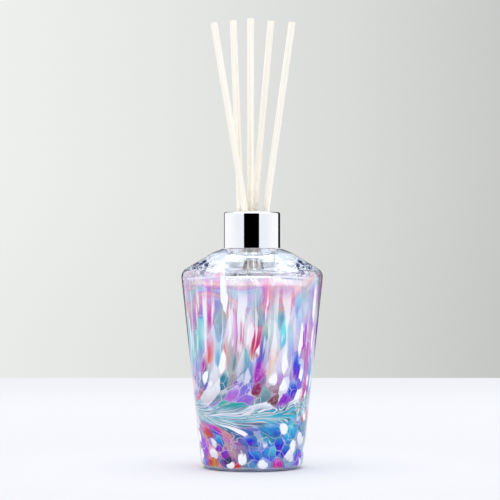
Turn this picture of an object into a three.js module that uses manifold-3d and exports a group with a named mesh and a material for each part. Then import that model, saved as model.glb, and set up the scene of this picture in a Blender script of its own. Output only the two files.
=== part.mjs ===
// Reed diffuser: a hand-blown glass bottle with a threaded neck, a chrome screw collar over a
// threaded liner and a sealing washer, and loose rattan reeds that fan out through the collar.
// Millimetres, +Z up. The origin is on the bottle's axis, in the plane it stands on.
import * as THREE from "three";
import { mergeVertices } from "three/addons/utils/BufferGeometryUtils.js";
import Module from "manifold-3d";

const wasm = await Module();
wasm.setup();

// Bottle
const FOOT_R = 28.8; // where the tapered side would meet the table
const SIDE_FLARE = 0.106; // the side leans out by this much per millimetre of height
const SHOULDER_Z = 111.6; // where the side and the shoulder would meet
const LAND_R = 16.9, LAND_Z = 124.6; // flat land round the neck, under the collar
const HEEL = 4.5; // rounding where the side meets the base
const WALL = 3.2; // glass thickness of the side
const FLOOR_Z = 5.6; // inside floor, above a heavy base
const PUNT_R = 15.5, PUNT_DEPTH = 1.2; // polished hollow under the base
const NECK_R = 12.6, BORE_R = 10, MOUTH_Z = 141.8;

// Screw thread, right-handed
const PITCH = 4, TURNS = 1.5;
const NECK_THREAD_TOP = 139.1; // middle of the neck ridge at its upper end
const NECK_CREST_R = 13.75;
const LINER_CREST_R = 13;
const THREAD_PLAY = 1.45; // the liner ridge sits this far under the neck ridge
const BLUNT = 0.5; // share of its full depth that a thread keeps at its blunt ends

// Collar: a drawn metal shell pressed over a moulded liner
const COLLAR_R = 16, COLLAR_BASE = 124.95, COLLAR_TOP = 145.5;
const SHELL_WALL = 0.6, PRESS_GAP = 0.3;
const LINER_BORE_R = 14.1, LINER_LID = 1.2;
const OPENING_R = 10.9; // hole in the top of the collar for the reeds
const WASHER_R = 13.7, WASHER_THICK = 1, WASHER_GAP = 0.3;

// Reeds: each one's middle where it crosses the mouth, and its lean per millimetre of height
const REED_R = 2, REED_LENGTH = 250, FOOT_GAP = 0.3;
const REEDS = [
  { name: "reed_1", at: [-3.2, -7], lean: [-0.1667, 0.002] },
  { name: "reed_2", at: [-6.5, -2.4], lean: [-0.0385, 0.07] },
  { name: "reed_3", at: [-0.9, -1.1], lean: [0, 0.004] },
  { name: "reed_4", at: [0.9, 5.9], lean: [0.088, -0.074] },
  { name: "reed_5", at: [7.2, 1.8], lean: [0.1389, -0.056] },
];

const ROUND = 60; // facets round the bottle
const ARC_STEP = Math.PI / 8; // facets of the fillets

const PAINT = {
  glass: { color: 0xaeb4d8, roughness: 0.06, metalness: 0, transparent: true, opacity: 0.5 },
  chrome: { color: 0xe9eaf2, roughness: 0.06, metalness: 1 },
  liner: { color: 0xf1f1ee, roughness: 0.45, metalness: 0 },
  washer: { color: 0xfafaf6, roughness: 0.85, metalness: 0 },
  reed: { color: 0xf3e9d6, roughness: 0.8, metalness: 0 },
};

// A profile of [radius, height, fillet] corners with each fillet drawn as a few chords.
function filleted(corners, closed = false) {
  const corner = (i) => {
    const [r, z] = corners[(i + corners.length) % corners.length];
    return new THREE.Vector2(r, z);
  };
  const points = [];
  corners.forEach(([, , fillet = 0], i) => {
    const tip = corner(i);
    const end = !closed && (i === 0 || i === corners.length - 1);
    if (!fillet || end) return points.push(tip);
    const back = corner(i - 1).sub(tip).normalize();
    const on = corner(i + 1).sub(tip).normalize();
    const half = Math.acos(THREE.MathUtils.clamp(back.dot(on), -1, 1)) / 2;
    const reach = fillet / Math.tan(half);
    const centre = back.clone().add(on).setLength(fillet / Math.sin(half)).add(tip);
    const from = back.multiplyScalar(reach).add(tip).sub(centre).angle();
    const to = on.multiplyScalar(reach).add(tip).sub(centre).angle();
    const sweep = THREE.MathUtils.euclideanModulo(to - from + Math.PI, 2 * Math.PI) - Math.PI;
    const chords = Math.max(1, Math.round(Math.abs(sweep) / ARC_STEP));
    for (let k = 0; k <= chords; k++) {
      const a = from + (sweep * k) / chords;
      points.push(new THREE.Vector2(Math.cos(a), Math.sin(a)).multiplyScalar(fillet).add(centre));
    }
  });
  if (closed) points.push(points[0].clone());
  return points;
}

// A profile turned about the Z axis.
function turned(points, facets = ROUND) {
  return new THREE.LatheGeometry(points, facets).rotateX(Math.PI / 2);
}

function solid(geometry) {
  const bare = geometry.clone().deleteAttribute("normal").deleteAttribute("uv");
  const merged = mergeVertices(bare, 1e-3);
  return new wasm.Manifold(
    new wasm.Mesh({
      numProp: 3,
      vertProperties: merged.attributes.position.array,
      triVerts: new Uint32Array(merged.index.array),
    }),
  );
}

function geometryOf(manifold) {
  const { vertProperties, triVerts } = manifold.getMesh();
  const g = new THREE.BufferGeometry();
  g.setAttribute("position", new THREE.BufferAttribute(new Float32Array(vertProperties), 3));
  g.setIndex(new THREE.BufferAttribute(new Uint32Array(triVerts), 1));
  g.computeVertexNormals();
  return g;
}

// A screw ridge: a straight bar of trapezoid section, wrapped into a helix with blunt, shallower
// ends. rootR is buried in the wall, crestR is the ridge's free side, topZ is the middle height
// of its upper end. The section is turned over on an outside ridge, so its faces stay out.
function ridge({ rootR, crestR, rootWidth, crestWidth, topZ, startTurn, turns }) {
  const section = new THREE.Shape([
    new THREE.Vector2(0, -rootWidth / 2),
    new THREE.Vector2(1, -crestWidth / 2),
    new THREE.Vector2(1, crestWidth / 2),
    new THREE.Vector2(0, rootWidth / 2),
  ]);
  const over = crestR > rootR ? -1 : 1;
  const steps = Math.round(turns * 32);
  const bar = new THREE.ExtrudeGeometry(section, { depth: 1, steps, bevelEnabled: false });
  const p = bar.attributes.position;
  for (let i = 0; i < p.count; i++) {
    const along = p.getZ(i);
    const ends = Math.min(along, 1 - along) * turns * 10;
    const fade = THREE.MathUtils.lerp(BLUNT, 1, THREE.MathUtils.smoothstep(ends, 0, 1));
    const r = THREE.MathUtils.lerp(rootR, crestR, p.getX(i) * fade);
    const a = (startTurn + along * turns) * 2 * Math.PI;
    const z = topZ - (1 - along) * turns * PITCH + over * p.getY(i);
    p.setXYZ(i, r * Math.cos(a), r * Math.sin(a), z);
  }
  return solid(bar);
}

function sideR(z) {
  return FOOT_R + SIDE_FLARE * z;
}

// Heavy base with a punt, flared side, sloping shoulder, threaded neck, and the hollow inside.
function bottle() {
  const body = turned(
    filleted([
      [0, PUNT_DEPTH],
      [PUNT_R - 2, PUNT_DEPTH, 2],
      [PUNT_R, 0],
      [sideR(0), 0, HEEL],
      [sideR(SHOULDER_Z), SHOULDER_Z, 5.5],
      [22.5, LAND_Z - 2.1, 9],
      [LAND_R, LAND_Z, 1],
      [NECK_R, LAND_Z, 0.5],
      [NECK_R, MOUTH_Z, 0.8],
      [BORE_R, MOUTH_Z, 0.8],
      [BORE_R, LAND_Z - 3.8, 2.5],
      [sideR(SHOULDER_Z) - WALL, SHOULDER_Z - 3.4, 6],
      [sideR(FLOOR_Z) - WALL, FLOOR_Z, 3],
      [0, FLOOR_Z],
    ]),
  );
  const thread = ridge({
    rootR: NECK_R - 0.3, crestR: NECK_CREST_R, rootWidth: 2.2, crestWidth: 0.9,
    topZ: NECK_THREAD_TOP, startTurn: 0, turns: TURNS,
  });
  return geometryOf(solid(body).add(thread));
}

// Drawn shell: plain cylinder with a rounded top edge and a hole in its lid.
function collarShell() {
  const inside = COLLAR_R - SHELL_WALL;
  return turned(
    filleted([
      [COLLAR_R, COLLAR_BASE],
      [COLLAR_R, COLLAR_TOP, 1.3],
      [OPENING_R, COLLAR_TOP, 0.25],
      [OPENING_R, COLLAR_TOP - SHELL_WALL],
      [inside, COLLAR_TOP - SHELL_WALL, 0.7],
      [inside, COLLAR_BASE],
    ], true),
  );
}

// Moulded liner: a cup with a hole in its lid and the mating thread inside its skirt.
function collarLiner() {
  const outside = COLLAR_R - SHELL_WALL - PRESS_GAP;
  const top = COLLAR_TOP - SHELL_WALL - PRESS_GAP;
  const cup = turned(
    filleted([
      [outside, COLLAR_BASE + 0.4],
      [outside, top, 0.8],
      [OPENING_R, top],
      [OPENING_R, top - LINER_LID],
      [LINER_BORE_R, top - LINER_LID],
      [LINER_BORE_R, COLLAR_BASE + 0.4],
    ], true),
  );
  const thread = ridge({
    rootR: LINER_BORE_R + 0.3, crestR: LINER_CREST_R, rootWidth: 1.6, crestWidth: 0.7,
    topZ: NECK_THREAD_TOP - THREAD_PLAY, startTurn: 0, turns: TURNS,
  });
  return geometryOf(solid(cup).add(thread));
}

// Soft ring between the liner's lid and the bottle's mouth.
function sealingWasher() {
  const top = COLLAR_TOP - SHELL_WALL - PRESS_GAP - LINER_LID - WASHER_GAP;
  return turned([
    new THREE.Vector2(WASHER_R, top - WASHER_THICK),
    new THREE.Vector2(WASHER_R, top),
    new THREE.Vector2(OPENING_R, top),
    new THREE.Vector2(OPENING_R, top - WASHER_THICK),
    new THREE.Vector2(WASHER_R, top - WASHER_THICK),
  ], 48);
}

// A round stick standing on +Z from its own foot, with its ends cut square and eased.
function reedStick() {
  return turned([
    new THREE.Vector2(0, 0),
    new THREE.Vector2(REED_R - 0.25, 0),
    new THREE.Vector2(REED_R, 0.25),
    new THREE.Vector2(REED_R, REED_LENGTH - 0.25),
    new THREE.Vector2(REED_R - 0.25, REED_LENGTH),
    new THREE.Vector2(0, REED_LENGTH),
  ], 20);
}

// Each reed stands on the floor of the bottle and leans as its place at the mouth makes it.
function placeReed(mesh, { at, lean }) {
  const up = new THREE.Vector3(lean[0], lean[1], 1).normalize();
  const foot = FLOOR_Z + FOOT_GAP + REED_R * Math.sin(Math.acos(up.z));
  const drop = MOUTH_Z - foot;
  mesh.position.set(at[0] - lean[0] * drop, at[1] - lean[1] * drop, foot);
  mesh.quaternion.setFromUnitVectors(new THREE.Vector3(0, 0, 1), up);
}

function piece(name, geometry, paint) {
  const mesh = new THREE.Mesh(geometry, new THREE.MeshStandardMaterial(PAINT[paint]));
  mesh.name = name;
  return mesh;
}

const diffuser = new THREE.Group();
const collar = new THREE.Group();
collar.add(
  piece("collar_shell", collarShell(), "chrome"),
  piece("collar_liner", collarLiner(), "liner"),
);
const reeds = new THREE.Group();
for (const reed of REEDS) {
  const mesh = piece(reed.name, reedStick(), "reed");
  placeReed(mesh, reed);
  reeds.add(mesh);
}
diffuser.add(
  piece("bottle", bottle(), "glass"),
  piece("sealing_washer", sealingWasher(), "washer"),
  collar,
  reeds,
);

export default diffuser;
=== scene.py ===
from math import acos, atan2, ceil, cos, e, log, pi, radians, sin, tan, tau

import bmesh
import bpy
from mathutils import Matrix, Vector, noise


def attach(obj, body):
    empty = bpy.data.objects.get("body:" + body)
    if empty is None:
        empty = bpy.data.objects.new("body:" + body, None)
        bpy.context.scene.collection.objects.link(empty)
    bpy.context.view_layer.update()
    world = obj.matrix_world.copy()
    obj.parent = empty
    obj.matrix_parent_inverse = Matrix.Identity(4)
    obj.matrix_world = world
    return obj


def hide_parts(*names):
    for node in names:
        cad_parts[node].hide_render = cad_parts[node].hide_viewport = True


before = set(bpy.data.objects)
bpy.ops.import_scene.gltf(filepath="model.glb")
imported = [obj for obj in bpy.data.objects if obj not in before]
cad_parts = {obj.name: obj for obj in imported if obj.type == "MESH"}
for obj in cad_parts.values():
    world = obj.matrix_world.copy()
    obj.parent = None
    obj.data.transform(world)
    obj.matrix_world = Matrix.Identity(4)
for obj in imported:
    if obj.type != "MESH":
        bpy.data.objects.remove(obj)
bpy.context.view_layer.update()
MM = 0.001

# Bottle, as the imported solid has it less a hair
FOOT_R, SIDE_FLARE, SHOULDER_Z = 28.78, 0.106, 111.6
LAND_R, LAND_Z = 16.9, 124.6  # the flat that the collar stands over
HEEL, WALL, FLOOR_Z = 4.5, 3.2, 5.6
SHOULDER_FILLET = 5.5
SLOPE_R, SLOPE_DROP, SLOPE_FILLET = 22.5, 2.1, 9  # where the shoulder eases towards the land
PUNT_R, PUNT_DEPTH = 15.5, 1.2  # the polished hollow under the base
NECK_R, BORE_R, MOUTH_Z = 12.6, 10, 141.8
BORE_END, INNER_SHOULDER_Z = 120.8, 108.2  # where the bore opens out, and where that ends
PITCH, TURNS, THREAD_TOP, THREAD_R = 4, 1.5, 139.1, 13.75
THREAD_HALF, THREAD_FLANK = 1.05, 0.6  # half the ridge's width, and the width of its slope
OIL_LEVEL = 104.5  # height of the fragrance oil
OIL_GAP, RIB_ROOM = 0.12, 0.75  # how far the oil stays off the glass, and off its ribs besides
RIBS, RIB = 22, 0.07  # optic ribs inside the glass, and how deep they are either way
WAVE, INSET = 0.1, 0.2  # the waviness of the inside, and how far it all stands in
RIBS_FROM, RIBS_TO, RIB_FADE = 8, 106, 12  # the ribs' lowest and highest places, and their fade
AROUND = 216  # facets round the bottle

# Collar
COLLAR_R, COLLAR_BASE, COLLAR_TOP = 16, 124.97, 145.5
OPENING_R, SHELL_WALL = 10.9, 0.6

# Reeds
REEDS, REED_R, REED_LENGTH = 5, 2, 249.98
REED_EDGE = ((0, 0.45), (0, 0.9), (0.12, 0.98))  # mm from the end, and share of the radius there

# View: level with the lower edge of the collar
VIEW_WIDTH = 0.285  # metres across the view at the bottle's axis
DISTANCE = 1.3
EYE = Vector((-1.2 * MM, -DISTANCE, 124 * MM))
FILM_WIDTH = 36
TABLE_EDGE = 0.91  # from the axis to the table's edge


# ---------------------------------------------------------------- node helpers

def srgb(r, g, b):
    def lin(v):
        v /= 255
        return v / 12.92 if v <= 0.04045 else ((v + 0.055) / 1.055) ** 2.4
    return (lin(r), lin(g), lin(b), 1)


class Graph:
    """Short spellings for building a node tree."""

    def __init__(self, tree):
        self.tree = tree
        tree.nodes.clear()

    def node(self, kind, **settings):
        n = self.tree.nodes.new("ShaderNode" + kind)
        for key, value in settings.items():
            setattr(n, key, value)
        return n

    def put(self, socket, value):
        if isinstance(value, bpy.types.NodeSocket):
            self.tree.links.new(value, socket)
        elif value is not None:
            socket.default_value = value

    def math(self, op, a, b=None):
        n = self.node("Math", operation=op)
        self.put(n.inputs[0], a)
        self.put(n.inputs[1], b)
        return n.outputs[0]

    def add(self, a, b):
        return self.math("ADD", a, b)

    def sub(self, a, b):
        return self.math("SUBTRACT", a, b)

    def mul(self, a, b):
        return self.math("MULTIPLY", a, b)

    def most(self, a, b):
        return self.math("MAXIMUM", a, b)

    def distance(self, x, y):
        """How far a point is from the upright axis."""
        return self.math("SQRT", self.add(self.mul(x, x), self.mul(y, y)))

    def vec(self, x, y, z):
        n = self.node("CombineXYZ")
        for socket, value in zip(n.inputs, (x, y, z)):
            self.put(socket, value)
        return n.outputs[0]

    def parts(self, v):
        n = self.node("SeparateXYZ")
        self.put(n.inputs[0], v)
        return n.outputs

    def smooth(self, x, lo, hi, a=0.0, b=1.0):
        """a up to lo, b from hi on, smooth between. With lo above hi it runs the other way."""
        n = self.node("MapRange", interpolation_type="SMOOTHSTEP")
        for socket, value in zip(n.inputs, (x, lo, hi, a, b)):
            self.put(socket, value)
        return n.outputs[0]

    def mix(self, fac, a, b, blend="MIX"):
        n = self.node("Mix", data_type="RGBA", blend_type=blend, clamp_factor=True)
        self.put(n.inputs[0], fac)
        self.put(n.inputs[6], a)
        self.put(n.inputs[7], b)
        return n.outputs[2]

    def blend(self, fac, a, b):
        n = self.node("Mix", data_type="FLOAT", clamp_factor=True)
        self.put(n.inputs[0], fac)
        self.put(n.inputs[2], a)
        self.put(n.inputs[3], b)
        return n.outputs[0]

    def ramp(self, fac, stops, mode="LINEAR"):
        n = self.node("ValToRGB")
        r = n.color_ramp
        r.interpolation = mode
        while len(r.elements) > 1:
            r.elements.remove(r.elements[-1])
        for i, (at, colour) in enumerate(stops):
            stop = r.elements[0] if i == 0 else r.elements.new(at)
            stop.position = at
            stop.color = colour
        self.put(n.inputs[0], fac)
        return n.outputs[0]

    def noise(self, v, scale, detail=2.0, rough=0.5):
        """(value, colour) sockets."""
        n = self.node("TexNoise")
        self.put(n.inputs["Vector"], v)
        n.inputs["Scale"].default_value = scale
        n.inputs["Detail"].default_value = detail
        n.inputs["Roughness"].default_value = rough
        return n.outputs["Fac"], n.outputs["Color"]

    def cells(self, v, feature="F1", scale=1.0, randomness=0.92):
        n = self.node("TexVoronoi", feature=feature)
        self.put(n.inputs["Vector"], v)
        n.inputs["Scale"].default_value = scale
        n.inputs["Randomness"].default_value = randomness
        return n

    def scaled(self, v, x, y, z):
        n = self.node("VectorMath", operation="MULTIPLY")
        self.put(n.inputs[0], v)
        n.inputs[1].default_value = (x, y, z)
        return n.outputs[0]

    def plus(self, v, w):
        n = self.node("VectorMath", operation="ADD")
        self.put(n.inputs[0], v)
        self.put(n.inputs[1], w)
        return n.outputs[0]

    def here(self):
        return self.node("TexCoord").outputs["Object"]

    def bump(self, height, strength, distance, normal=None):
        n = self.node("Bump")
        n.inputs["Strength"].default_value = strength
        n.inputs["Distance"].default_value = distance
        self.put(n.inputs["Height"], height)
        self.put(n.inputs["Normal"], normal)
        return n.outputs[0]

    def principled(self, **sockets):
        """A surface wired to the output; the keys are socket names with _ for spaces."""
        n = self.node("BsdfPrincipled")
        for key, value in sockets.items():
            self.put(n.inputs[key.replace("_", " ")], value)
        self.tree.links.new(n.outputs[0], self.node("OutputMaterial").inputs[0])


def material(name):
    m = bpy.data.materials.new(name)
    m.use_nodes = True
    return m, Graph(m.node_tree)


# ---------------------------------------------------------------- mesh helpers

def built(name, bm):
    """The object made from a bmesh, in the scene."""
    mesh = bpy.data.meshes.new(name)
    bm.to_mesh(mesh)
    bm.free()
    obj = bpy.data.objects.new(name, mesh)
    bpy.context.scene.collection.objects.link(obj)
    return obj


def filleted(corners, closed=False, step=pi / 16):
    """A profile of (radius, height, fillet) corners in mm, each fillet drawn as short chords."""
    points = []
    count = len(corners)
    for i, (r, z, *rest) in enumerate(corners):
        fillet = rest[0] if rest else 0
        tip = Vector((r, z))
        if not fillet or (not closed and i in (0, count - 1)):
            points.append(tip)
            continue
        back = (Vector(corners[i - 1][:2]) - tip).normalized()
        on = (Vector(corners[(i + 1) % count][:2]) - tip).normalized()
        half = acos(max(-1, min(1, back.dot(on)))) / 2
        centre = tip + (back + on).normalized() * (fillet / sin(half))
        a, b = (tip + d * (fillet / tan(half)) - centre for d in (back, on))
        start = atan2(a.y, a.x)
        sweep = (atan2(b.y, b.x) - start + pi) % tau - pi
        chords = max(1, round(abs(sweep) / step))
        for k in range(chords + 1):
            angle = start + sweep * k / chords
            points.append(centre + fillet * Vector((cos(angle), sin(angle))))
    return points


def divided(points, longest):
    """The same profile with no chord longer than a length in mm."""
    out = []
    for p, q in zip(points, points[1:]):
        n = max(1, ceil((q - p).length / longest))
        out += [p.lerp(q, k / n) for k in range(n)]
    return out + [points[-1]]


def turned(name, points, around, closed=False, shape=None, slots=None):
    """A smooth solid of revolution in metres. shape(point, angle) moves a point of the profile at
    an angle; slots(point, next) gives the material slot of the band between two points."""
    bm = bmesh.new()
    rings = []
    for p in points:
        if p.x < 1e-6:
            rings.append([bm.verts.new((0, 0, p.y * MM))])
            continue
        ring = []
        for k in range(around):
            a = tau * k / around
            q = shape(p, a) if shape else p
            ring.append(bm.verts.new((q.x * cos(a) * MM, q.x * sin(a) * MM, q.y * MM)))
        rings.append(ring)
    pairs = list(zip(range(len(rings)), range(1, len(rings))))
    if closed:
        pairs.append((len(rings) - 1, 0))
    for i, j in pairs:
        low, high = rings[i], rings[j]
        slot = slots(points[i], points[j]) if slots else 0
        for k in range(around):
            n = (k + 1) % around
            if len(low) == 1:
                face = bm.faces.new((low[0], high[n], high[k]))
            elif len(high) == 1:
                face = bm.faces.new((low[k], low[n], high[0]))
            else:
                face = bm.faces.new((low[k], low[n], high[n], high[k]))
            face.material_index = slot
            face.smooth = True
    bmesh.ops.recalc_face_normals(bm, faces=bm.faces)
    return built(name, bm)


def sharpen(obj, degrees):
    """Keeps edges steeper than this crisp on a smooth mesh."""
    bm = bmesh.new()
    bm.from_mesh(obj.data)
    for f in bm.faces:
        f.smooth = True
    for edge in bm.edges:
        if len(edge.link_faces) == 2:
            edge.smooth = edge.calc_face_angle(0) < radians(degrees)
    bm.to_mesh(obj.data)
    bm.free()


# ---------------------------------------------------------------- bottle

def side_r(z):
    return FOOT_R + SIDE_FLARE * z


def thread_rise(angle, z):
    """How far the neck's screw ridge stands out of the neck, in mm."""
    rise = 0
    for turn in range(ceil(TURNS)):
        along = (angle / tau + turn) / TURNS
        if along <= 1:
            middle = THREAD_TOP - (1 - along) * TURNS * PITCH
            ends = min(along, 1 - along) * TURNS * 10
            depth = (THREAD_R - NECK_R) * (0.5 + 0.5 * min(1, max(0, ends)))
            inside = (THREAD_HALF - abs(z - middle)) / THREAD_FLANK
            rise = max(rise, depth * min(1, max(0, inside)))
    return rise


def bottle_mesh():
    """The glass, with slot 0 on its coloured outside and slot 1 on the clear inside and neck."""
    corners = filleted([
        (0, PUNT_DEPTH), (PUNT_R - 2, PUNT_DEPTH, 2), (PUNT_R, 0, 0.4), (side_r(0), 0, HEEL),
        (side_r(SHOULDER_Z), SHOULDER_Z, SHOULDER_FILLET),
        (SLOPE_R, LAND_Z - SLOPE_DROP, SLOPE_FILLET), (LAND_R, LAND_Z, 1),
        (NECK_R, LAND_Z, 0.5), (NECK_R, MOUTH_Z, 0.8), (BORE_R, MOUTH_Z, 0.8),
        (BORE_R, BORE_END, 2.5), (side_r(SHOULDER_Z) - WALL, INNER_SHOULDER_Z, 6),
        (side_r(FLOOR_Z) - WALL, FLOOR_Z, 3), (0, FLOOR_Z),
    ])
    profile = []
    for p, q in zip(corners, corners[1:]):
        on_neck = min(p.y, q.y) >= LAND_Z and abs(p.x - q.x) < 0.01 and p.x > BORE_R + 1
        profile += divided([p, q], 0.4 if on_neck else 3.5)[:-1]
    profile.append(corners[-1])

    def inner(p):
        return p.x < side_r(p.y) - WALL + 0.3 and FLOOR_Z - 0.1 <= p.y <= BORE_END

    def shape(p, a):
        r, z = p.x, p.y
        if r > NECK_R - 0.01 and LAND_Z + 0.6 < z < MOUTH_Z - 1 and r < LAND_R - 1:
            return Vector((r + thread_rise(a, z), z))
        if inner(p) and r > BORE_R + 0.5:
            # ribs and a slow waviness, full on the side and faint at the floor and shoulder
            fade = min(1, max(0, (z - RIBS_FROM) / RIB_FADE))
            fade *= min(1, max(0.3, (RIBS_TO - z) / RIB_FADE))
            wave = noise.noise((3 * cos(a), 3 * sin(a), z * 0.03))
            return Vector((r - fade * (INSET - (RIB * cos(RIBS * a) + WAVE * wave)), z))
        return p

    def slots(p, q):
        outside = min(p.x, q.x) > PUNT_R and max(p.y, q.y) <= LAND_Z + 0.01
        return 0 if outside and not (inner(p) or inner(q)) else 1

    return turned("bottle_glass", profile, AROUND, shape=shape, slots=slots)


def oil_mesh():
    """The oil, its surface curling up where it meets the glass."""
    floor = FLOOR_Z + OIL_GAP
    r_top = side_r(OIL_LEVEL) - WALL - RIB_ROOM
    profile = filleted([
        (0, floor), (side_r(FLOOR_Z) - WALL - OIL_GAP - RIB_ROOM, floor, 3),
        (r_top, OIL_LEVEL), (r_top - 0.5, OIL_LEVEL - 0.35, 0.4),
        (r_top - 2, OIL_LEVEL - 0.7, 1), (0, OIL_LEVEL - 0.75),
    ], step=pi / 8)
    return turned("fragrance_oil", divided(profile, 12), 96)


# ---------------------------------------------------------------- art-glass colours

PALETTE = {
    "deep": (6, 104, 156), "teal": (6, 150, 168), "turquoise": (52, 208, 198),
    "cyan": (10, 186, 222), "aqua": (140, 224, 236), "azure": (8, 148, 214),
    "royal": (24, 76, 214), "indigo": (74, 66, 206), "periwinkle": (124, 130, 228),
    "violet": (124, 70, 216), "purple": (130, 36, 190), "magenta": (206, 36, 176),
    "crimson": (208, 16, 98), "maroon": (122, 16, 66), "coral": (240, 112, 112),
    "pink": (240, 164, 206), "peach": (250, 206, 184), "amber": (222, 176, 146),
    "yellow": (214, 188, 74), "olive": (140, 150, 112), "sage": (158, 192, 184),
    "rust": (204, 152, 134), "grey": (128, 146, 160), "lilac": (190, 166, 226),
    "lavender": (216, 208, 242), "white": (250, 250, 255), "navy": (30, 34, 92),
}

# Colours of the glass chips: height in mm, then azimuth in degrees from the front, to the right.
# Colours run into each other between the places named. The far side repeats the near one.
CHIPS = [
    (5, "-66 grey -50 rust -36 amber -26 navy -17 rust -8 navy -2 rust 5 grey 11 white "
        "16 grey 25 peach 33 magenta 44 white 58 violet 70 white"),
    (13, "-66 lilac -48 magenta -33 purple -20 white -9 deep 2 royal 10 white 20 azure "
         "33 indigo 45 white 56 azure 68 white"),
    (21, "-66 purple -55 azure -44 crimson -30 violet -20 magenta -9 deep 2 royal 10 white "
         "19 teal 33 azure 46 cyan 58 white 72 grey"),
    (32, "-62 white -50 azure -41 coral -29 purple -15 white 2 teal 12 maroon 22 white "
         "32 azure 40 cyan 47 yellow 56 white 68 coral"),
    (44, "-65 peach -53 periwinkle -43 crimson -33 purple -23 white -12 lilac -3 white 5 lilac "
         "10 maroon 17 grey 24 maroon 33 white 42 violet 52 white 61 crimson 75 lilac"),
    (54, "-60 purple -49 royal -40 teal -31 white -20 teal -10 olive -3 teal 6 violet "
         "13 magenta 22 white 32 lilac 42 violet 54 periwinkle 66 royal 78 aqua"),
    (65, "-66 aqua -54 turquoise -40 coral -31 white -24 cyan -12 grey -3 teal 4 white "
         "13 indigo 22 peach 31 white 45 periwinkle 59 magenta 72 lavender"),
    (77, "-66 aqua -52 turquoise -36 white -24 cyan -17 white -10 magenta -2 white 7 crimson "
         "14 sage 22 white 31 aqua 42 white 51 lilac 61 magenta 76 lilac"),
    (89, "-66 coral -51 magenta -42 white -33 magenta -24 sage -15 coral -5 white 9 teal "
         "17 white 28 turquoise 36 white 44 azure 52 white 60 violet 72 white"),
    (100, "-75 pink -60 lilac -52 magenta -43 lavender -33 magenta -26 aqua -14 white -1 lilac "
          "12 pink 23 coral 32 pink 42 white 50 coral 59 violet 70 pink"),
    (108, "-70 pink -55 peach -42 white -31 coral -15 white 0 lavender 14 white 25 pink "
          "38 white 50 peach 64 peach 76 coral"),
]

# Strands drawn out by the comb, the veils at the top, and the glass between the foot's chips on
# the left and on the right: where each colour comes in a noise from 0 to 1.
STRANDS = (
    "0.3 cyan 0.34 teal 0.355 white 0.38 white 0.39 navy 0.4 deep 0.425 cyan 0.44 white "
    "0.465 white 0.475 navy 0.485 teal 0.51 turquoise 0.525 navy 0.535 white 0.565 white "
    "0.575 deep 0.6 cyan 0.62 teal 0.63 navy 0.64 white 0.7 aqua")
VEILS = ("0.34 lilac 0.39 lavender 0.43 aqua 0.46 lavender 0.49 pink 0.53 peach 0.57 pink "
         "0.6 lavender 0.65 lilac")
LEFT_GROUND = "0.4 purple 0.46 deep 0.52 magenta 0.58 rust"
RIGHT_GROUND = "0.4 azure 0.46 deep 0.52 teal 0.58 royal"

COMB_Z, COMB_RISE = 38.6, 9  # mm, the height of the comb's path and how far it swings
PULL_START, PULL = 0.85, 1.32  # where the comb went in, and how far round it dragged the glass
CHIP, THIN = 6.6, 4.3  # mm, how wide a chip is at the foot and where it is drawn out above
CHIP_R = 34  # mm, the radius that those widths are counted at
CHIP_HEIGHT = 7.1  # mm, at the foot
STRETCH_Z, STRETCH = 25, 0.035  # above this height chips grow taller, by this share to the mm
DISTINCT_Z = 50  # below this height the chart's colours change at a line, above it they blend


def chip_row(z):
    """Height in mm turned into a count of chips, which grow taller up the bottle."""
    beyond = max(z - STRETCH_Z, 0)
    return (min(z, STRETCH_Z) + log(1 + STRETCH * beyond) / STRETCH) / CHIP_HEIGHT


def named(text):
    """Ramp stops from a line of places and colour names."""
    words = text.split()
    return [(float(at), srgb(*PALETTE[name])) for at, name in zip(words[::2], words[1::2])]


def chart(text, distinct):
    """A row of the colour chart as ramp stops over a full turn, the far side repeating the near
    one. Distinct colours change half way between the places named."""
    near = named(text)
    far = [((180 - a) % 360 - 180 if a > 0 else -180 - a, c) for a, c in near[1:-1:2]]
    stops = sorted([(a / 360 + 0.5, c) for a, c in near + far])
    if distinct:
        stops = [((p + q) / 2, c) for (p, _), (q, c) in zip([(0, None)] + stops, stops)]
    return stops


def comb(g, a, z, wander):
    """The comb's pass round the bottle: the angle that the glass now at angle a was dragged from,
    and how close the path is, from 0 to 1."""
    swing = g.mul(g.math("COSINE", g.add(a, 0.2)), -COMB_RISE)
    path = g.add(swing, g.add(g.mul(g.sub(wander, 0.5), 5), COMB_Z))
    # glass close to the path went with the comb, and glass further off was drawn a little way
    off = g.sub(z, path)
    above = g.math("GREATER_THAN", off, 0)
    away = g.mul(g.math("ABSOLUTE", off), -1)
    close = g.math("EXPONENT", g.math("DIVIDE", away, g.blend(above, 3.4, 4.4)))
    loose = g.math("EXPONENT", g.math("DIVIDE", away, g.blend(above, 9, 26)))
    left = g.math("FLOORED_MODULO", g.sub(PULL_START, a), pi)
    drag = g.mul(g.math("MINIMUM", g.mul(left, 0.95), PULL), g.smooth(left, 1.9, pi, 1, 0))
    return g.add(a, g.mul(drag, g.blend(0.3, close, loose))), close


def chip_places(g, source, z):
    """Coordinates in which one unit is one chip: (warped, even, the colours of the warp)."""
    low = g.math("MINIMUM", z, STRETCH_Z)
    beyond = g.most(g.sub(z, STRETCH_Z), 0)
    grown = g.math("LOGARITHM", g.add(1, g.mul(beyond, STRETCH)), e)
    row = g.math("DIVIDE", g.add(low, g.math("DIVIDE", grown, STRETCH)), CHIP_HEIGHT)
    turns = g.smooth(z, 22, 62, CHIP_R / CHIP, CHIP_R / THIN)
    across = g.mul(g.math("SINE", source), turns)
    even = g.vec(across, g.mul(g.math("COSINE", source), turns), row)
    warp = g.noise(even, 0.8, 2)[1]
    at = g.plus(even, g.scaled(g.plus(warp, (-0.5, -0.5, -0.5)), 0.9, 0.9, 0.8))
    return at, even, warp


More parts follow.
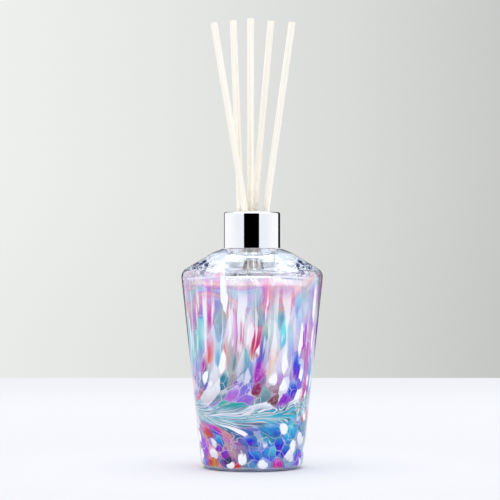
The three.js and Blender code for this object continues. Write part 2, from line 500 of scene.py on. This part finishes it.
def charted(g, place):
    """The chart's colour at a place in chip coordinates."""
    x, y, row = g.parts(place)
    turn = g.add(g.math("DIVIDE", g.math("ARCTAN2", x, y), tau), 0.5)
    colour = None
    for height, text in CHIPS:
        distinct = height < DISTINCT_Z
        band = g.ramp(turn, chart(text, distinct), "CONSTANT" if distinct else "EASE")
        level = chip_row(height)
        if colour is None:
            colour = band
        elif distinct:
            colour = g.mix(g.math("GREATER_THAN", row, (below + level) / 2), colour, band)
        else:
            colour = g.mix(g.smooth(row, below, level), colour, band)
        below = level
    return colour


def frit(g):
    """The fused colour pattern: (colour, cover, white, streak, rim, here) sockets. cover is 0 on
    clear glass and 1 on coloured chips."""
    here = g.here()
    x, y, z_m = g.parts(here)
    z = g.mul(z_m, 1000)
    a = g.math("ARCTAN2", x, g.mul(y, -1))
    wander, wander_tint = g.noise(here, 45, 1)
    source, close = comb(g, a, z, wander)
    at, even, warp = chip_places(g, source, z)

    # the chips: three random numbers for each, and how far up or down it a point is
    cell = g.cells(at, "SMOOTH_F1")
    g.put(cell.inputs["Smoothness"], g.smooth(z, 25, 85, 0.05, 0.3))
    rim = g.cells(at, "DISTANCE_TO_EDGE").outputs["Distance"]
    pick = g.node("SeparateColor")
    g.put(pick.inputs[0], cell.outputs["Color"])
    chance, chance2, chance3 = pick.outputs
    drop = g.sub(g.parts(at)[2], g.parts(cell.outputs["Position"])[2])

    # colours from the chart, mostly one to a chip at the foot, running together higher up
    spot = g.node("Mix", data_type="VECTOR")
    g.put(spot.inputs[0], g.smooth(z, 40, 80, 0.0, 0.5))
    g.put(spot.inputs[4], cell.outputs["Position"])
    g.put(spot.inputs[5], even)
    colour = charted(g, spot.outputs[1])

    # shading inside a chip: a shift of hue down it, paler at the top, and fine drawn-out seeds
    tint = g.node("HueSaturation")
    hue = g.add(g.mul(g.sub(chance2, 0.5), 0.06), g.mul(drop, -0.09))
    g.put(tint.inputs["Hue"], g.add(0.5, hue))
    strong = g.add(g.smooth(z, 30, 45, 2.1, 1.6), g.smooth(z, 55, 72, 0, 0.6))
    g.put(tint.inputs["Saturation"], strong)
    g.put(tint.inputs["Value"], g.add(g.smooth(z, 20, 60, 0.94, 0.96), g.mul(drop, 0.35)))
    g.put(tint.inputs["Color"], colour)
    streak = g.noise(g.scaled(at, 5, 5, 0.9), 1, 2, 0.6)[0]
    seeds = g.smooth(streak, 0.5, 0.8, 0, g.smooth(z, 20, 80, 0.1, 0.4))
    body = g.mix(seeds, tint.outputs[0], (0.88, 0.88, 0.98, 1))
    shade = g.mix(1.0, body, (0.4, 0.36, 0.66, 1), "MULTIPLY")
    body = g.mix(g.smooth(streak, 0.42, 0.24, 0, 0.4), body, shade)
    pale = g.smooth(chance2, 0.5, 0.65, 0, g.smooth(z, 15, 60, 0.12, 0.6))
    body = g.mix(g.mul(g.smooth(drop, 0.08, 0.42), pale), body, (0.93, 0.94, 1, 1))

    # a chip is strongest at its heart and paler where it meets the next
    heart = g.add(cell.outputs["Distance"], g.mul(g.sub(streak, 0.5), 0.35))
    faint = g.smooth(heart, 0.4, 0.75, 0, g.smooth(z, 20, 70, 0.03, 0.35))
    body = g.mix(faint, body, (0.86, 0.84, 0.98, 1))

    # pale veils that flow round the top of the pattern, with fine folds in them
    flow = g.noise(g.scaled(here, 1, 1, 2.4), 30, 1)[0]
    fold = g.smooth(g.math("ABSOLUTE", g.sub(flow, 0.47)), 0.003, 0.012, 0.5, 0)
    veil = g.mix(fold, g.ramp(flow, named(VEILS), "EASE"), srgb(*PALETTE["violet"]))
    body = g.mix(g.smooth(z, 84, 98, 0, 0.7), body, veil)

    # white chips and white runs
    chosen = g.smooth(g.add(chance, g.smooth(z, 20, 45, -0.05, 0)), 0.2, 0.17)
    white = g.mul(chosen, g.smooth(heart, 0.4, 0.56, 1, 0))
    runs = g.noise(g.scaled(at, 1.9, 1.9, 0.32), 1, 1)[0]
    reach = g.mul(g.smooth(z, 48, 80, 0, 0.8), g.smooth(z, 94, 104, 1, 0.25))
    white = g.most(white, g.mul(g.smooth(runs, 0.54, 0.6), reach))
    body = g.mix(white, body, (0.95, 0.955, 1, 1))

    # the glass between the chips of the foot
    shift = g.parts(warp)[1]
    left_side = g.smooth(a, -0.55, 0.25, 1, 0)
    ground = g.mix(left_side, g.ramp(shift, named(RIGHT_GROUND)), g.ramp(shift, named(LEFT_GROUND)))
    body = g.mix(g.smooth(heart, 0.46, 0.58, 0, g.smooth(z, 25, 42, 0.75, 0)), body, ground)

    # strands drawn out by the comb, with fine navy veins
    strand = g.noise(g.scaled(at, 1.45, 1.45, 0.35), 1, 1)[0]
    vein = g.math("ABSOLUTE", g.sub(g.noise(g.scaled(at, 2.1, 2.1, 0.4), 1, 0)[0], 0.5))
    veined = g.smooth(vein, 0.006, 0.022, 0.85, 0)
    combed = g.mix(veined, g.ramp(strand, named(STRANDS)), srgb(*PALETTE["navy"]))
    body = g.mix(g.smooth(close, 0.16, 0.42, 0, 0.92), body, combed)
    white = g.mul(white, g.smooth(close, 0.14, 0.6, 1, 0.3))

    # pale seams between chips, and thin threads that run across them
    seam = g.mul(g.smooth(rim, 0.006, 0.028, 1, 0), g.smooth(wander, 0.45, 0.6))
    net = g.cells(g.plus(at, (3.3, 1.7, 5.1)), "DISTANCE_TO_EDGE", 0.62).outputs["Distance"]
    patchy = g.smooth(g.parts(wander_tint)[1], 0.42, 0.55)
    thread = g.mul(g.smooth(net, 0.005, 0.02, 1, 0), patchy)
    lines = g.most(g.mul(seam, 0.4), g.mul(thread, g.smooth(z, 30, 45, 0.45, 0.7)))
    body = g.mix(lines, body, (0.9, 0.86, 0.98, 1))

    # cover: full on the side, thinning to veils and then clear glass at the shoulder
    fringe = g.add(z, g.add(g.mul(g.sub(wander, 0.5), 22), g.mul(g.sub(streak, 0.5), 12)))
    cover = g.smooth(fringe, 103, 116, 1, 0)
    bare = g.mul(g.smooth(chance3, 0.3, 0.5, 1, 0), g.smooth(z, 55, 100))
    cover = g.mul(cover, g.blend(bare, 1, 0.6))
    cover = g.mul(cover, g.smooth(g.add(z, g.mul(g.sub(streak, 0.5), 3)), 0.8, 3))
    return body, cover, white, streak, rim, here


def glass_materials():
    """The coloured outside of the bottle, and its clear inside and neck."""
    colour, g = material("art_glass")
    body, cover, white, streak, rim, here = frit(g)
    z = g.parts(here)[2]
    thick = g.smooth(z, 0.02, 0.08, 0.88, 0.7)
    tint_and_painted_edge = g.mix(g.noise(here, 30, 2)[0], (0.82, 0.95, 1, 1), (0.89, 0.94, 1, 1))
    # painted shade: the lowest 2 mm of the foot is tinted dark navy, standing in for the dark
    # outline along the glass's bottom edge
    painted_dark_foot_edge = g.smooth(z, 0.0005, 0.0022, 0.95, 0)
    tint_and_painted_edge = g.mix(painted_dark_foot_edge, tint_and_painted_edge, (0.08, 0.12, 0.34, 1))
    base = g.mix(cover, tint_and_painted_edge, body)
    clearness = g.blend(g.mul(cover, g.blend(white, thick, 0.95)), 1.0, 0.0)
    rough = g.blend(cover, 0.0, g.add(0.16, g.mul(streak, 0.14)))
    swirl = g.noise(g.scaled(here, 1, 1, 0.35), 75, 2)[0]
    normal = g.bump(g.smooth(rim, 0, 0.2), 0.1, 0.0002, g.bump(swirl, 0.05, 0.0009))
    g.principled(Base_Color=base, Roughness=rough, IOR=1.5, Transmission_Weight=clearness,
                 Coat_Weight=1.0, Coat_Roughness=0.015, Coat_IOR=1.28,
                 Specular_IOR_Level=0.2, Normal=normal)

    clear, g = material("clear_glass")
    here = g.here()
    tint = g.mix(g.noise(here, 40, 2)[0], (0.93, 0.98, 1, 1), (0.97, 0.97, 1, 1))
    wave = g.noise(g.scaled(here, 1, 1, 0.4), 90, 2)[0]
    g.principled(Base_Color=tint, Roughness=g.smooth(wave, 0.4, 0.8, 0.0, 0.02), IOR=1.5,
                 Transmission_Weight=1.0, Normal=g.bump(wave, 0.03, 0.0006))
    return colour, clear


def oil_material():
    m, g = material("fragrance_oil")
    here = g.here()
    tint = g.mix(g.noise(here, 25, 2)[0], (0.99, 0.96, 0.98, 1), (0.96, 0.98, 1, 1))
    ripple = g.noise(here, 60, 1)[0]
    g.principled(Base_Color=tint, Roughness=g.smooth(ripple, 0.4, 0.9, 0.0, 0.015), IOR=1.36,
                 Transmission_Weight=1.0, Normal=g.bump(ripple, 0.05, 0.0003))
    return m


# ---------------------------------------------------------------- collar

def collar_mesh():
    """A drawn shell, open below, with the reeds' hole in its top."""
    inside, under = COLLAR_R - SHELL_WALL, COLLAR_TOP - SHELL_WALL
    profile = filleted([
        (COLLAR_R, COLLAR_BASE, 0.18), (COLLAR_R, COLLAR_TOP, 1), (OPENING_R, COLLAR_TOP, 0.28),
        (OPENING_R, under, 0.2), (inside, under, 0.7), (inside, COLLAR_BASE, 0.1),
    ], closed=True, step=pi / 20)
    return turned("collar_chrome", profile, 192, closed=True)


def chrome_material():
    m, g = material("bright_chrome")
    here = g.here()
    film = g.noise(here, 160, 4)[0]
    hair = g.noise(g.scaled(here, 60, 60, 2600), 1, 2, 0.6)[0]
    base = g.mix(film, (0.9, 0.9, 0.94, 1), (0.95, 0.95, 0.98, 1))
    rough = g.add(g.smooth(film, 0.45, 0.75, 0.018, 0.06), g.mul(hair, 0.012))
    g.principled(Base_Color=base, Metallic=1.0, Roughness=rough,
                 Normal=g.bump(hair, 0.02, 0.00003))
    return m


def plastic_material(name, light, dark, rough, grain):
    m, g = material(name)
    here = g.here()
    mottle = g.noise(here, 220, 3)[0]
    pits = g.noise(here, grain, 3, 0.7)[0]
    g.principled(Base_Color=g.mix(mottle, dark, light),
                 Roughness=g.smooth(pits, 0.3, 0.8, rough - 0.08, rough + 0.08),
                 Subsurface_Weight=0.15, Subsurface_Radius=(0.001, 0.001, 0.0012),
                 Normal=g.bump(pits, 0.25, 0.00008))
    return m


# ---------------------------------------------------------------- reeds

def reed_axis(node):
    """Foot and direction of a packed reed: the middles of its two ends."""
    corners = [v.co for v in node.data.vertices]
    middle = sum(c.z for c in corners) / len(corners)
    low = [c for c in corners if c.z < middle]
    high = [c for c in corners if c.z >= middle]
    bottom, top = (sum(part, Vector()) / len(part) for part in (low, high))
    up = (top - bottom).normalized()
    return (bottom + top) / 2 - up * (REED_LENGTH * MM / 2), up


def reed_mesh(name, seed):
    """A peeled rattan core: not quite round, shallow flutes, square ends with a broken edge."""
    around, rows = 36, 64
    bm = bmesh.new()
    rings = []

    def ring(z, share):
        out = []
        for k in range(around):
            a = tau * k / around
            flute = 0.018 * cos(9 * a + seed) + 0.012 * cos(14 * a + 2.1 * seed + z * 0.01)
            swell = 0.02 * noise.noise((cos(a) + 5 * seed, sin(a), z * 0.012))
            r = REED_R * (0.968 + (flute + swell)) * share
            out.append(bm.verts.new((r * cos(a) * MM, r * sin(a) * MM, z * MM)))
        rings.append(out)

    for z, share in REED_EDGE:
        ring(z, share)
    for k in range(rows + 1):
        ring(0.3 + (REED_LENGTH - 0.6) * k / rows, 1)
    for z, share in reversed(REED_EDGE):
        ring(REED_LENGTH - z, share)
    for low, high in zip(rings, rings[1:]):
        for k in range(around):
            n = (k + 1) % around
            bm.faces.new((low[k], low[n], high[n], high[k]))
    for edge, z in ((rings[0], 0), (rings[-1], REED_LENGTH)):
        tip = bm.verts.new((0, 0, z * MM))
        for k in range(around):
            bm.faces.new((edge[k], edge[(k + 1) % around], tip))
    bmesh.ops.recalc_face_normals(bm, faces=bm.faces)
    obj = built(name, bm)
    sharpen(obj, 50)
    return obj


def reed_material():
    """Long pale fibres on the side, dyed a little by the oil low down, and pores in the ends,
    painted dark partly as their own colour and partly as painted shade.
    """
    m, g = material("rattan_core")
    here = g.here()
    x, y, z = g.parts(here)
    fibre = g.noise(g.scaled(here, 1500, 1500, 12), 1, 3, 0.65)[0]
    vein = g.noise(g.scaled(here, 620, 620, 5), 1, 2)[0]
    blotch = g.noise(g.scaled(here, 90, 90, 22), 1, 2)[0]
    side = g.mix(g.smooth(fibre, 0.35, 0.68), srgb(244, 238, 225), srgb(255, 252, 246))
    side = g.mix(g.smooth(vein, 0.56, 0.7, 0, 0.5), side, srgb(226, 206, 174))
    side = g.mix(g.smooth(blotch, 0.45, 0.7, 0, 0.35), side, srgb(252, 247, 236))
    wet = g.smooth(z, 0.085, 0.17, 1, 0)
    side = g.mix(g.mul(wet, 0.5), side, g.mix(1.0, side, srgb(255, 240, 222), "MULTIPLY"))
    pores = g.cells(here, scale=2600, randomness=1).outputs["Distance"]
    pore = g.smooth(pores, 0.2, 0.34, 1, 0)
    # the pores are painted dark brown: partly their own colour, partly painted shade for the depth
    # the flat end lacks
    end_with_pore_shade = g.mix(g.mul(pore, 0.75), srgb(238, 222, 192), srgb(120, 90, 60))
    off_edge = g.smooth(g.distance(x, y), 0.00172, 0.0018, 1, 0)
    ends = g.most(g.smooth(z, 0.0003, 0.0001, 0, 1), g.smooth(z, 0.2497, 0.2499))
    on_end = g.mul(off_edge, ends)
    base = g.mix(on_end, side, end_with_pore_shade)
    height = g.sub(g.add(g.mul(fibre, 0.6), g.mul(vein, 0.4)), g.mul(on_end, pore))
    g.principled(Base_Color=base, Roughness=g.smooth(fibre, 0.3, 0.7, 0.72, 0.9), IOR=1.45,
                 Subsurface_Weight=0.12, Subsurface_Radius=(0.0012, 0.0009, 0.0006),
                 Normal=g.bump(height, 0.5, 0.00012))
    return m


# ---------------------------------------------------------------- studio

def table_top():
    """A flat white table, with painted light round the bottle and painted shade towards its far
    edge.
    """
    bm = bmesh.new()
    corners = ((-1, -1), (1, -1), (1, 1), (-1, 1))
    bm.faces.new([bm.verts.new((x * TABLE_EDGE, y * TABLE_EDGE, 0)) for x, y in corners])
    obj = built("table", bm)
    m, g = material("table_white")
    here = g.here()
    x, y, _ = g.parts(here)
    grain = g.noise(here, 6, 2)[0]
    white = g.mix(grain, (0.772, 0.778, 0.793, 1), (0.784, 0.79, 0.803, 1))
    # painted shade: the base colour darker towards the far edge
    white = g.mix(g.smooth(y, 0.45, 0.9), white, (0.735, 0.74, 0.76, 1))
    # painted light: the base colour brighter round the bottle, lightening the shadow it casts there
    near = g.smooth(g.distance(x, y), 0.04, 0.2, 1, 0)
    white = g.mix(near, white, (0.84, 0.845, 0.86, 1))
    g.principled(Base_Color=white, Roughness=0.6, Specular_IOR_Level=0.0)
    obj.data.materials.append(m)


def studio():
    """A world of light with no walls in the way. What the camera sees of it is a pale wall.
    Polished faces mirror two tall white panels with a black gap between, glass shows a bright card
    with dark strips at its sides, and matt surfaces get an even white."""
    world = bpy.data.worlds.new("studio")
    world.use_nodes = True
    bpy.context.scene.world = world
    g = Graph(world.node_tree)
    x, y, z = g.parts(g.node("TexCoord").outputs["Generated"])
    turn = g.math("ARCTAN2", x, y)  # 0 behind the object, positive to the right
    rise = g.math("ARCSINE", z)
    aside = g.math("ABSOLUTE", turn)

    # the wall, bright on the left and darker on the right, dimmer low down
    shades = ((0, 0.72), (0.3, 0.88), (0.39, 0.86), (0.46, 0.8), (0.544, 0.7), (0.61, 0.59),
              (0.7, 0.56), (1, 0.72))
    wall = [(at, (0.998 * k, 1.014 * k, 0.992 * k, 1)) for at, k in shades]
    dim = g.smooth(rise, -0.055, 0.04, 0.955, 1)
    seen = g.mix(1.0, g.ramp(g.add(turn, 0.5), wall), g.vec(dim, dim, dim), "MULTIPLY")

    def sector(lo, hi, soft):
        """1 between two angles from straight behind the object, on both sides."""
        past = g.smooth(aside, lo - soft, lo + soft)
        return g.mul(past, g.smooth(aside, hi - soft, hi + soft, 1, 0))

    # mirrored: two tall panels with a black gap round the camera
    on_right = g.math("GREATER_THAN", turn, 0)
    gap = g.blend(on_right, radians(146), radians(151))
    outer = g.blend(on_right, radians(27), radians(45))
    panel = g.mul(g.smooth(g.sub(aside, outer), -0.05, 0.05), g.math("LESS_THAN", aside, gap))
    panel = g.mul(panel, g.mul(g.smooth(rise, -0.62, -0.5), g.smooth(rise, 0.85, 1.0, 1, 0)))
    sheet = g.mix(g.smooth(aside, 1.2, 2.3), (1.04, 1.04, 1.04, 1), (0.9, 0.935, 0.965, 1))
    mirrored = g.mix(panel, (0, 0, 0, 1), sheet)
    mirrored = g.mix(g.smooth(rise, 0.78, 0.9), mirrored, (4.2, 4.7, 5.4, 1))

    # through the glass: a bright card, dimmer higher up, lamps overhead, and navy strips aside
    card = g.mix(g.smooth(rise, 0.12, 0.22), (1.22, 1.3, 1.4, 1), (1.02, 1.06, 1.2, 1))
    card = g.mix(g.smooth(rise, 0.95, 1.2), card, (2.3, 2.4, 2.6, 1))
    box = g.mul(g.smooth(aside, 1.3, 1.9), g.smooth(rise, 0.25, 0.55))
    card = g.mix(box, card, (8, 8.1, 8.4, 1))
    edge = g.mul(sector(0.5, 0.58, 0.03), 0.5)
    for lo, hi in ((0.83, 0.96), (1.01, 1.12), (1.16, 1.4)):
        edge = g.most(edge, sector(lo, hi, 0.02))
    through = g.mix(edge, card, (0.04, 0.06, 0.2, 1))

    # on matt surfaces: an even, slightly top-heavy white
    matt = g.mix(g.smooth(rise, -0.3, 1.2), (1.02, 1.03, 1.06, 1), (1.26, 1.27, 1.3, 1))

    ray = g.node("LightPath").outputs
    light = g.mix(ray["Is Glossy Ray"], matt, mirrored)
    light = g.mix(ray["Is Transmission Ray"], light, through)
    back = g.node("Background")
    g.put(back.inputs["Color"], g.mix(ray["Is Camera Ray"], light, seen))
    out = g.node("OutputWorld")
    g.tree.links.new(back.outputs[0], out.inputs[0])
    world.cycles.sampling_method = "NONE"


def camera():
    """The view, and enough bounces for light that is trapped in the thick glass."""
    cam = bpy.data.cameras.new("camera")
    cam.sensor_width = FILM_WIDTH
    cam.lens = FILM_WIDTH * DISTANCE / VIEW_WIDTH
    cam.clip_start, cam.clip_end = 0.05, 50
    obj = bpy.data.objects.new("camera", cam)
    obj.location = EYE
    obj.rotation_euler = (pi / 2, 0, 0)
    bpy.context.scene.collection.objects.link(obj)
    scene = bpy.context.scene
    scene.camera = obj
    scene.view_settings.view_transform = "Standard"
    scene.view_settings.look = "None"
    cycles = scene.cycles
    cycles.max_bounces, cycles.transmission_bounces = 28, 28
    cycles.glossy_bounces, cycles.diffuse_bounces = 16, 12


# ---------------------------------------------------------------- assembly

camera()
studio()
table_top()

bottle = bottle_mesh()
for glass in glass_materials():
    bottle.data.materials.append(glass)
sharpen(bottle, 50)
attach(bottle, "bottle")
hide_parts("bottle")

oil = oil_mesh()
oil.data.materials.append(oil_material())
sharpen(oil, 60)
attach(oil, "bottle")

collar = collar_mesh()
collar.data.materials.append(chrome_material())
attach(collar, "collar")
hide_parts("collar_shell")

# The liner and the washer are right as packed: they only get a better finish.
ivory, foam = (0.88, 0.88, 0.86, 1), (0.93, 0.93, 0.91, 1)
looks = {
    "collar_liner": plastic_material("liner_plastic", ivory, (0.8, 0.8, 0.78, 1), 0.42, 900),
    "sealing_washer": plastic_material("washer_foam", foam, (0.84, 0.84, 0.82, 1), 0.82, 2600),
}
for name, look in looks.items():
    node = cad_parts[name]
    node.data.materials.clear()
    node.data.materials.append(look)

rattan = reed_material()
for i in range(1, REEDS + 1):
    name = f"reed_{i}"
    foot, up = reed_axis(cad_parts[name])
    reed = reed_mesh(f"rattan_{i}", i)
    reed.data.materials.append(rattan)
    lean = up.to_track_quat("Z", "Y").to_matrix().to_4x4()
    reed.matrix_world = Matrix.Translation(foot) @ lean
    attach(reed, name)
    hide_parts(name)
